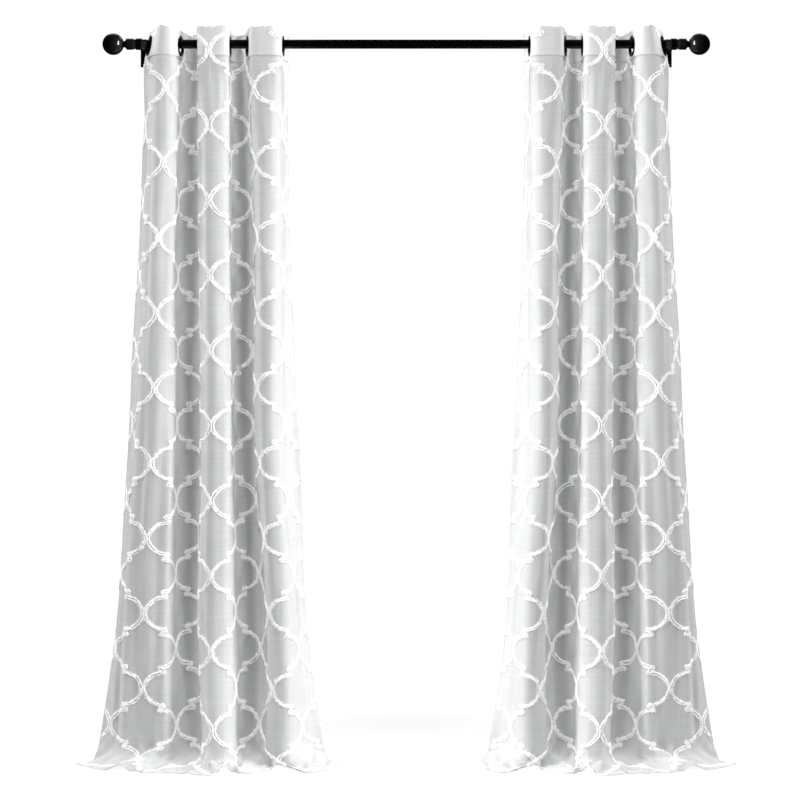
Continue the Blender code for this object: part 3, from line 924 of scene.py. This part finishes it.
def foldHems(across, drop, lift):
    radius, width, length = cloth["hemRadius"], panel["width"], panel["length"]

    def turnBack(place, edge, lift):
        # past the edge the cloth goes round a small radius and back behind itself
        over = place - (edge - radius)
        angle = np.clip(over / radius, 0, math.pi)
        beyond = np.maximum(over - math.pi * radius, 0)
        place = np.where(over > 0, edge - radius + radius * np.sin(angle) - beyond, place)
        return place, lift + np.where(over > 0, radius * np.cos(angle) - radius, 0)

    drop, lift = turnBack(drop, length, lift)
    across, lift = turnBack(across, width, lift)
    mirroredAcross, lift = turnBack(width - across, width, lift)
    return width - mirroredAcross, drop, lift


def clothColumns():
    radius, hem, width = cloth["hemRadius"], cloth["sideHem"], panel["width"]
    turned = math.pi * radius
    edge = [radius - turned - hem, radius - turned - hem / 2, radius - turned, radius - turned / 2, radius]
    middle = np.linspace(radius, width - radius, cloth["columns"] + 1)[1:-1]
    return np.array(edge + list(middle) + [width - place for place in reversed(edge)])


def clothRows():
    radius, hem, length = cloth["hemRadius"], cloth["bottomHem"], panel["length"]
    turned = math.pi * radius
    change = panel["kneeDrop"] - cloth["lyingFrom"]
    hanging = np.linspace(panel["headingDepth"] + cloth["seamGap"], change, cloth["hangingRows"] + 1)[:-1]
    lying = np.linspace(change, length - radius, cloth["lyingRows"] + 1)
    start = length - radius + turned
    back = [start - turned / 2, start] + [start + hem * share for share in (0.25, 0.5, 0.75, 1)]
    return np.concatenate([hanging, lying, back])


def makeCloth():
    columns, rows = clothColumns(), clothRows()
    shape = gridShape(len(columns) - 1, len(rows) - 1)
    for vert in shape.verts:  # the grid's even steps become the wanted places, top row last
        column = round((vert.co.x + 0.5) * (len(columns) - 1))
        row = round((0.5 - vert.co.y) * (len(rows) - 1))
        vert.co = (columns[column], -rows[row], 0)
    piece = addShape("leftCloth", shape, voile)
    hangPiece(piece, foldHems)
    thicken(piece, cloth["thickness"])
    return piece


headingBand = {
    "thickness": 0.0024, "columns": 150, "rows": 10, "sharpFrom": 50,
    "hole": 0.0224, "holeSides": 48, "cutDepth": 0.02,
    # the top edge is a little wavy and higher on the folds that face the room: size, wavelength and one crest
    "topWaves": ((0.0016, 0.083, 0.021), (0.0012, 0.031, 0.008), (0.0022, 0.340, 0.1425)),
    "topRise": 0.0015, "topDepth": 0.016,
}


def topRise(across):
    rise = headingBand["topRise"]
    for size, wave, crest in headingBand["topWaves"]:
        rise = rise + size * np.cos(2 * math.pi * (across - crest) / wave)
    return rise


def makeHeading():
    part, width, depth = headingBand, panel["width"], panel["headingDepth"]
    shape = gridShape(part["columns"], part["rows"])
    bmesh.ops.scale(shape, vec=(width, depth, 1), verts=shape.verts)
    shift(shape, (width / 2, -depth / 2, 0))
    for vert in shape.verts:
        vert.co.y += max(0, 1 + vert.co.y / part["topDepth"]) * topRise(vert.co.x)
    piece = addShape("leftHeadingBand", shape, band)
    thicken(piece, part["thickness"])
    withModifiers(piece)
    for across, drop in eyeletSpots:
        hole = bmesh.new()
        bmesh.ops.create_cone(hole, cap_ends=True, segments=part["holeSides"], radius1=part["hole"],
                              radius2=part["hole"], depth=part["cutDepth"])
        combine(piece, shift(hole, (across, -drop, 0)), "DIFFERENCE")
    hangPiece(piece)
    return sharpened(piece, part["sharpFrom"])


leftCloth = makeCloth()
rightCloth = mirroredPiece(leftCloth, "rightCloth")
leftHeading = makeHeading()
rightHeading = mirroredPiece(leftHeading, "rightHeadingBand")
print("curtain: cloth and heading bands")


# ---- Woven trellis, its clipped threads and the sewing ----

trellis = {
    "contactPitch": 0.1055,  # across the cloth, between the places where two lines meet
    "firstContact": 0.050,
    "contacts": (-1, 9),  # from this one up to, and without, that one
    "period": 0.208,
    "repeats": (-1, 11),
    "evenRow": 0.063,
    "oddRow": 0.167,
    "drift": ((0, 0), (0.35, -0.003), (0.6, -0.011), (1.1, -0.013), (1.35, -0.019), (2.134, -0.018)),
    "driftEnd": (0.20, 0.42),  # the grain of the cloth runs off its folds near the outer edge alone
    "strandHalf": 0.0020,
    "strandHeight": 0.0022,
    "unevenness": 0.55,  # of the strand's thickness
    "endThickness": 0.35,
    "section": ((-1, 0.2), (0, 1), (1, 0.2), (0, -0.6), (-1, 0.2)),  # shows a little behind the cloth as well
    "halfGap": 0.0024,
    "gapDrift": 0.0008, "gapSteps": 9, "gapMost": 1.5,  # the gap wanders slowly, over so many steps
    "wobble": 0.0006,
    "jitter": 0.0005,
    "clearance": 0.0035,  # from the side edges
    "topClearance": 0.001, "hemClearance": 0.003, "ringClearance": 0.004,
    "seed": 5,
}

# A quarter of one line's repeat, in millimetres off its axis and down: from where it meets its neighbour,
# round the lobe, out to the corner of the knot and back to the knot's middle
quarterFigure = (
    (49.6, 0), (49.0, 6), (47.0, 12), (43.6, 18.2), (38.8, 24.6), (32.8, 30.6), (26, 35.6), (18.4, 39.6),
    (9.6, 42.4), (2.4, 43.8), (-5.0, 43.2), (-4.6, 46.8), (-1.6, 49.6), (0, 52),
)
knotCorner = 10  # the corner's number among those points


def withMidpoints(points):
    # a point on a smooth curve is put in between each two
    padded = np.concatenate([points[:1], points, points[-1:]])
    between = (9 * (padded[1:-2] + padded[2:-1]) - padded[:-3] - padded[3:]) / 16
    denser = np.empty((2 * len(points) - 1, 2))
    denser[0::2] = points
    denser[1::2] = between
    return denser


def figurePeriod():
    quarter = np.array(quarterFigure) / 1000
    halfway = (0, trellis["period"] / 2)
    half = np.concatenate([quarter, (-quarter[::-1] + halfway)[1:]])
    other = half * (-1, 1) + halfway
    return withMidpoints(np.concatenate([half, other[1:]]))


def trellisLines():
    # the middle of every line of the figure, down the whole cloth
    random = np.random.default_rng(trellis["seed"])
    period = figurePeriod()
    lines = []
    for contact in range(*trellis["contacts"]):
        axis = trellis["firstContact"] + (contact + 0.5) * trellis["contactPitch"]
        rightRow = trellis["oddRow"] if contact % 2 == 0 else trellis["evenRow"]
        points = [period + (axis, rightRow + turn * trellis["period"]) for turn in range(*trellis["repeats"])]
        line = np.concatenate([points[0]] + [more[1:] for more in points[1:]])
        line = line + random.uniform(-1, 1, line.shape) * trellis["wobble"]
        drift = np.interp(line[:, 1], *np.array(trellis["drift"]).T)
        line[:, 0] += drift * (1 - ramp(line[:, 0], *trellis["driftEnd"]))
        lines.append(line)
    return lines


def headingLift(drop):
    # the heading band is thicker than the cloth below it
    return np.where(drop < panel["headingDepth"], headingBand["thickness"] / 2, cloth["thickness"] / 2)


def shownRuns(line, edge=trellis["clearance"]):
    # the stretches of a line that lie on the cloth and clear of the eyelets
    shown = (line[:, 0] > edge) & (line[:, 0] < panel["width"] - edge)
    shown &= (line[:, 1] > trellis["topClearance"]) & (line[:, 1] < panel["length"] - trellis["hemClearance"])
    for spot in eyeletSpots:
        shown &= np.hypot(*(line - spot).T) > eyelet["radius"] + trellis["ringClearance"]
    numbers = np.flatnonzero(shown)
    if len(numbers) == 0:
        return []
    return [run for run in np.split(numbers, np.flatnonzero(np.diff(numbers) > 1) + 1) if len(run) > 3]


def sidewaysOf(line):
    forward = unit(np.gradient(line, axis=0))
    return np.stack([forward[:, 1], -forward[:, 0]], axis=1)


def addStrand(shape, path, lift, random):
    # a soft cord with a four-sided section, thinner at its ends
    count = len(path)
    across = sidewaysOf(path)
    thick = 1 + trellis["unevenness"] * random.uniform(-1, 1, count)
    thick[0] = thick[-1] = trellis["endThickness"]
    section, half, height = trellis["section"], trellis["strandHalf"], trellis["strandHeight"]
    made = bmesh.ops.create_grid(shape, x_segments=count - 1, y_segments=len(section) - 1, size=0.5)["verts"]
    for vert in made:
        place = round((vert.co.x + 0.5) * (count - 1))
        sidewise, rise = section[round((vert.co.y + 0.5) * (len(section) - 1))]
        spot = path[place] + across[place] * sidewise * half * thick[place]
        vert.co = (spot[0], -spot[1], lift[place] + rise * height * thick[place])


def makeTrellis(lines):
    random = np.random.default_rng(trellis["seed"] + 1)
    steps, most = trellis["gapSteps"], trellis["gapMost"]
    shape = bmesh.new()
    for line in lines:
        across = sidewaysOf(line)
        strides = random.normal(0, 1, len(line) + steps - 1)
        drift = np.convolve(strides, np.ones(steps) / math.sqrt(steps), mode="valid")
        gap = trellis["halfGap"] + trellis["gapDrift"] * np.clip(drift, -most, most)
        for run in shownRuns(line):
            for side in (-1, 1):
                path = line[run] + across[run] * (side * gap[run])[:, None]
                path += random.uniform(-1, 1, path.shape) * trellis["jitter"]
                addStrand(shape, path, headingLift(path[:, 1]), random)
    bmesh.ops.remove_doubles(shape, verts=shape.verts, dist=1e-6)
    bmesh.ops.holes_fill(shape, edges=[edge for edge in shape.edges if edge.is_boundary], sides=6)
    bmesh.ops.recalc_face_normals(shape, faces=shape.faces)
    piece = addShape("leftTrellis", shape, yarn)
    hangPiece(piece)
    return piece


def scattered(template, origins, axes):
    # one small shape set out many times: its X, Y and Z run along the three axes given for each place
    points = flatPoints(template)
    places = origins[:, None, :] + sum(points[None, :, k, None] * axes[k][:, None, :] for k in range(3))
    corners = np.empty(len(template.loops), np.int64)
    template.loops.foreach_get("vertex_index", corners)
    sizes = np.empty(len(template.polygons), np.int64)
    template.polygons.foreach_get("loop_total", sizes)
    corners = (corners[None, :] + (np.arange(len(origins)) * len(points))[:, None]).ravel()
    return places.reshape(-1, 3), corners, np.tile(sizes, len(origins))


def pieceFrom(name, places, corners, sizes, material):
    mesh = bpy.data.meshes.new(name)
    mesh.vertices.add(len(places))
    mesh.vertices.foreach_set("co", places.astype(np.float32).ravel())
    mesh.loops.add(len(corners))
    mesh.loops.foreach_set("vertex_index", corners.astype(np.int32))
    mesh.polygons.add(len(sizes))
    mesh.polygons.foreach_set("loop_start", (np.cumsum(sizes) - sizes).astype(np.int32))
    mesh.update(calc_edges=True)
    return addPiece(name, mesh, material)


fringe = {
    "seed": 23,
    "pitch": 0.0021,
    "short": (0.0022, 0.0058),
    "clumpPitch": 0.0068, "clumpPull": 0.0014, "clumpShift": 0.002,  # small tufts, apart on the two sides
    "rootOut": 0.95,  # from the middle of the strand to its edge
    "rootSpread": 0.0006,
    "halfThick": (0.0008, 0.0013),
    "tickWidth": 1.4, "topWidth": 2.2,  # those at the knots and on the top edge are clumps of several yarns
    "bentFrom": 0.0050,  # longer threads are in two lengths, bend and droop
    "lengths": (0.75, 0.55), "bendWidth": 0.72, "bend": 0.3, "droop": 0.25,
    "overhang": 0.010,  # yarns of the figure that run out past a side edge are clipped there
    "ticks": 5, "tickLength": (0.0035, 0.0070), "tickSpread": 0.0020,  # at each corner of a knot
    "topPitch": 0.0022, "topLength": (0.0025, 0.0085),  # along the heading's top edge
    "topEnds": 0.003, "topDrop": 0.0012, "topSpread": 0.001, "topBelow": 0.004,
    "topClumps": (71, 173), "topBare": 0.1,  # radians along each metre, and where the edge stays bare
    "turn": 0.35, "hangDown": 0.15, "rise": (0.05, 0.7),  # how threads stray, hang and stand off the cloth
    "lift": 0.0004,
    "edgeInset": 0.0005, "topInset": 0.001, "hemInset": 0.002,
}


def threadPlaces(lines):
    # roots, outward ways and lengths of the clipped threads, on the flat cloth
    part = fringe
    random = np.random.default_rng(part["seed"])
    quarter = 2 * (len(quarterFigure) - 1)  # steps from one contact to the middle of a knot
    corners = [
        turn * quarter + place for turn in (0, 2) for place in (2 * knotCorner, 2 * quarter - 2 * knotCorner)
    ]
    rootOut = trellis["halfGap"] + trellis["strandHalf"] * part["rootOut"]
    spots, ways, lengths = [], [], []

    def gather(spot, way, shortest, longest):
        spots.append(spot)
        ways.append(way)
        lengths.append(random.uniform(shortest, longest, len(spot)))

    for line in lines:
        across = sidewaysOf(line)
        axis = line[:, 0].mean()
        for run in shownRuns(line, -part["overhang"]):
            path, out = line[run], across[run]
            steps = np.concatenate([[0], np.cumsum(np.linalg.norm(np.diff(path, axis=0), axis=1))])
            for side in (-1, 1):
                where = np.sort(random.uniform(0, steps[-1], int(steps[-1] / part["pitch"])))
                clump = 2 * math.pi * (where + part["clumpShift"] * side) / part["clumpPitch"]
                where -= part["clumpPull"] * np.sin(clump)
                spot, way = (
                    np.stack([np.interp(where, steps, values[:, k]) for k in (0, 1)], axis=1)
                    for values in (path, out)
                )
                gather(spot + way * side * rootOut, way * side, *part["short"])
            knots = run[np.isin(run % (4 * quarter), corners)]
            spot = np.repeat(line[knots], part["ticks"], axis=0)
            way = np.stack([np.sign(spot[:, 0] - axis), np.zeros(len(spot))], axis=1)
            spot = spot + random.normal(0, part["tickSpread"], spot.shape)
            gather(spot, way, *part["tickLength"])
    top = np.arange(part["topEnds"], panel["width"] - part["topEnds"], part["topPitch"])
    slow, fast = part["topClumps"]
    clumps = np.sin(top * slow) + np.sin(top * fast + 1) + random.normal(0, 0.5, len(top))
    top = top[clumps > part["topBare"]]
    across = top + random.normal(0, part["topSpread"], len(top))
    spot = np.stack([across, np.full(len(top), part["topDrop"])], axis=1)
    gather(spot, np.tile((0.0, -1.0), (len(top), 1)), *part["topLength"])
    return np.concatenate(spots), np.concatenate(ways), np.concatenate(lengths), random


def makeFringe(lines):
    part = fringe
    root, way, length, random = threadPlaces(lines)
    count = len(root)
    root = root + random.normal(0, part["rootSpread"], (count, 2))
    atTop = root[:, 1] < part["topBelow"]
    outward = way[:, 0] + random.normal(0, part["turn"], count)
    downward = way[:, 1] + part["hangDown"] + random.normal(0, part["turn"], count)
    rise = random.uniform(*part["rise"], count)
    across = np.clip(root[:, 0], part["edgeInset"], panel["width"] - part["edgeInset"])
    drop = np.clip(root[:, 1], part["topInset"], panel["length"] - part["hemInset"])
    lift = np.where(atTop, 0, headingLift(drop) + part["lift"])
    base = hang(across, drop - np.where(atTop, topRise(across), 0), lift)
    acrossWay, dropWay, normal = clothWays(across, drop)
    first = unit(acrossWay * outward[:, None] + dropWay * downward[:, None] + normal * rise[:, None])
    droop = np.where(atTop, 0, part["droop"])
    second = unit(first - droop[:, None] * (0, 0, 1) + random.normal(0, part["bend"], (count, 3)))
    thick = random.uniform(*part["halfThick"], count)
    thick *= np.where(atTop, part["topWidth"], np.where(length > part["short"][1], part["tickWidth"], 1))
    thick = thick[:, None]
    bent = length > part["bentFrom"]
    template = meshOf("thread", coneShape(3, 1, 0.5))
    middle = base + first * (length * 0.5)[:, None]
    firstShare, secondShare = part["lengths"]
    made = []
    for start, heading, share, width, which in (
        (base, first, np.where(bent, firstShare, 1.0), 1.0, slice(None)),
        (middle, second, np.full(count, secondShare), part["bendWidth"], bent),
    ):
        sidewise = unit(np.cross(heading, normal))
        upward = np.cross(sidewise, heading)
        axes = (heading * (length * share)[:, None], sidewise * thick * width, upward * thick * width)
        made.append(scattered(template, start[which], [axis[which] for axis in axes]))
    bpy.data.meshes.remove(template)
    (places, corners, sizes), (morePlaces, moreCorners, moreSizes) = made
    corners = np.concatenate([corners, moreCorners + len(places)])
    places = np.concatenate([places, morePlaces])
    places[:, 2] = np.maximum(places[:, 2], panel["yarnGap"])
    print("curtain: threads a side", count)
    return pieceFrom("leftFringe", places, corners, np.concatenate([sizes, moreSizes]), yarn)


stitch = {
    "length": 0.0027, "pitch": 0.0035, "half": 0.00028, "lift": 0.0001,
    "sideInset": 0.0175, "bottomInset": 0.0375, "seamInset": 0.004, "ends": 0.004, "belowSeam": 0.006,
}


def stitchShape():
    # one unit long, and pointed at both ends
    shape = coneShape(4, 0.5, 0.25)
    bmesh.ops.mirror(shape, geom=shape.verts[:] + shape.edges[:] + shape.faces[:], axis="X", merge_dist=1e-4)
    bmesh.ops.remove_doubles(shape, verts=shape.verts, dist=1e-4)
    bmesh.ops.recalc_face_normals(shape, faces=shape.faces)
    return shape


def makeStitches():
    part, width, length, seam = stitch, panel["width"], panel["length"], panel["headingDepth"]
    rows = []
    for drop in (seam - part["seamInset"], length - part["bottomInset"]):
        places = np.arange(part["ends"], width - part["ends"], part["pitch"])
        rows.append((places, np.full(len(places), drop), np.full(len(places), True)))
    for across in (part["sideInset"], width - part["sideInset"]):
        places = np.arange(seam + part["belowSeam"], length - part["ends"], part["pitch"])
        rows.append((np.full(len(places), across), places, np.full(len(places), False)))
    across, drop, isAcross = (np.concatenate(column) for column in zip(*rows))
    origins = hang(across, drop, headingLift(drop) + part["lift"])
    acrossWay, dropWay, normal = clothWays(across, drop)
    heading = np.where(isAcross[:, None], acrossWay, dropWay)
    axes = (heading * part["length"], np.cross(normal, heading) * part["half"], normal * part["half"])
    template = meshOf("stitch", stitchShape())
    made = scattered(template, origins, axes)
    bpy.data.meshes.remove(template)
    return pieceFrom("leftStitches", *made, yarn)


lines = trellisLines()
leftPieces = [makeTrellis(lines), makeFringe(lines), makeStitches()]
rightPieces = [mirroredPiece(piece, piece.name.replace("left", "right")) for piece in leftPieces]
print("curtain: trellis, clipped threads and stitches")

for side, main, heading, trims in (
    ("left", leftCloth, leftHeading, leftPieces),
    ("right", rightCloth, rightHeading, rightPieces),
):
    finish(main, "voile", side + "_panel")
    finish(heading, "heading", side + "_heading")
    for trim in trims:
        finish(trim, "voile")


# ---- Floor, light and camera ----

studio = {
    "worldLight": 0.055, "worldGloss": 0.05, "worldSeen": 1.05,
    "floorGlow": (0.84, 1.0), "glowFrom": (0.75, 1.25),  # near and far, and where it starts and ends rising
    "floorSize": 40.0, "floorColours": ((0.82, 0.82, 0.82), (0.86, 0.86, 0.86)),
    "aimX": 0.55, "aimZ": 1.0,
    "gleamPower": 60, "gleamSize": (0.6, 0.45), "gleamPlace": (0, -0.26, 2.10),
}
# One lamp of each kind on each side: power, place of the right-hand one, size, and which pieces it lights
lamps = {
    "edge": (130, (5.0, -1.35, 1.3), (1.2, 3.0), "cloths"),
    "front": (60, (3.0, -4.3, 3.4), (2.0, 2.0), "clothsAndFloor"),
    "overhead": (190, (0.75, -0.3, 8.0), (3.0, 3.0), "cloths"),
    "behind": (95, (0.55, 5.5, 2.2), (2.0, 2.0), "cloths"),
    "metalRim": (14, (1.2, 2.0, 4.2), (1.6, 0.6), "metal"),
    "cross": (238, (-4.0, -2.3, 1.2), (1.2, 3.0), "ownPanel"),
    "outerRim": (115, (5.0, 0.9, 3.6), (1.2, 2.0), "ownPanel"),
    "innerRim": (120, (-4.5, 0.9, 3.6), (1.2, 2.0), "ownPanel"),
}
throughCloth = ("outerRim", "innerRim")  # sheer cloth casts no shadow from these
cameraPlace = {"x": -0.0176, "z": 1.01, "distance": 5.6, "lens": 90.3}


def makeFloor():
    shape = bmesh.new()
    bmesh.ops.create_grid(shape, x_segments=1, y_segments=1, size=studio["floorSize"] / 2)
    material, tree, shader = newMaterial(
        "paleFloor", {"Roughness": 0.9, "Specular IOR Level": 0.0, "Emission Color": (1, 1, 1, 1)},
    )
    source = addNode(tree, "ShaderNodeTexCoord").outputs["Object"]
    far = addNode(tree, "ShaderNodeVectorMath", operation="LENGTH")
    tree.links.new(source, far.inputs[0])
    glow = addRange(tree, far.outputs["Value"], *studio["glowFrom"], *studio["floorGlow"])
    tree.links.new(glow, shader.inputs["Emission Strength"])
    linkColour(tree, shader, addNoise(tree, source, 2.0), *studio["floorColours"])
    floor = addShape("floor", shape, material)
    floor.visible_diffuse = floor.visible_glossy = False


def makeWorld():
    world = bpy.data.worlds.new("studio")
    bpy.context.scene.world = world
    world.use_nodes = True
    tree = world.node_tree
    background = tree.nodes["Background"]
    background.inputs["Color"].default_value = (1, 1, 1, 1)
    path = addNode(tree, "ShaderNodeLightPath")
    lit = addRange(tree, path.outputs["Is Glossy Ray"], 0, 1, studio["worldLight"], studio["worldGloss"])
    seen = addMath(tree, "MULTIPLY", path.outputs["Is Camera Ray"], studio["worldSeen"])
    tree.links.new(addMath(tree, "MAXIMUM", lit, seen), background.inputs["Strength"])


def addLight(name, place, target, power, size, receivers):
    light = bpy.data.lights.new(name, "AREA")
    light.energy = power
    light.shape = "RECTANGLE"
    light.size, light.size_y = size
    lamp = addObject(name, light)
    lamp.location = place
    lamp.rotation_euler = (Vector(target) - Vector(place)).to_track_quat("-Z", "Y").to_euler()
    lamp.light_linking.receiver_collection = receivers
    return lamp


def gathered(name, pieces):
    collection = bpy.data.collections.new(name)
    for piece in pieces:
        collection.objects.link(bpy.data.objects[piece])
    return collection


def makeLights():
    clothKinds = ("Cloth", "HeadingBand", "Trellis", "Fringe", "Stitches")
    sides = (("left", -1), ("right", 1))
    clothNames = [name + kind for name, side in sides for kind in clothKinds]
    balls = ["leftFinial", "rightFinial"]
    hardware = ["curtainRod", "leftBracket", "rightBracket"] + balls
    solid = gathered("solidPieces", hardware + ["leftTrellis", "rightTrellis"])
    receivers = {
        "cloths": gathered("cloths", clothNames),
        "clothsAndFloor": gathered("clothsAndFloor", clothNames + ["floor"]),
        "metal": gathered("metal", hardware + [ring.name for name, side in sides for ring in rings[name]]),
    }
    for name, side in sides:
        receivers["ownPanel"] = gathered(name + "Panel", [name + kind for kind in clothKinds])
        target = (side * studio["aimX"], 0, studio["aimZ"])
        for kind, (power, (x, y, z), size, lights) in lamps.items():
            place = (side * x, y, z)
            lamp = addLight(kind + name.capitalize(), place, target, power, size, receivers[lights])
            if kind in throughCloth:
                lamp.light_linking.blocker_collection = solid
    ballEnds = gathered("ballEnds", balls)
    gleam = addLight(
        "spotLight", studio["gleamPlace"], rodCentre, studio["gleamPower"], studio["gleamSize"], ballEnds,
    )
    gleam.light_linking.blocker_collection = ballEnds


def makeCamera():
    part = cameraPlace
    camera = bpy.data.cameras.new("camera")
    camera.lens = part["lens"]
    camera.sensor_width = 36
    view = addObject("camera", camera)
    view.location = (part["x"], panel["rodY"] - part["distance"], part["z"])
    view.rotation_euler = (math.pi / 2, 0, 0)
    bpy.context.scene.camera = view


makeFloor()
makeWorld()
makeLights()
makeCamera()
bpy.context.scene.view_settings.view_transform = "Standard"
bpy.context.scene.cycles.transparent_max_bounces = 64  # many layers of sheer cloth lie one behind another
print("curtain: floor, lights and camera")
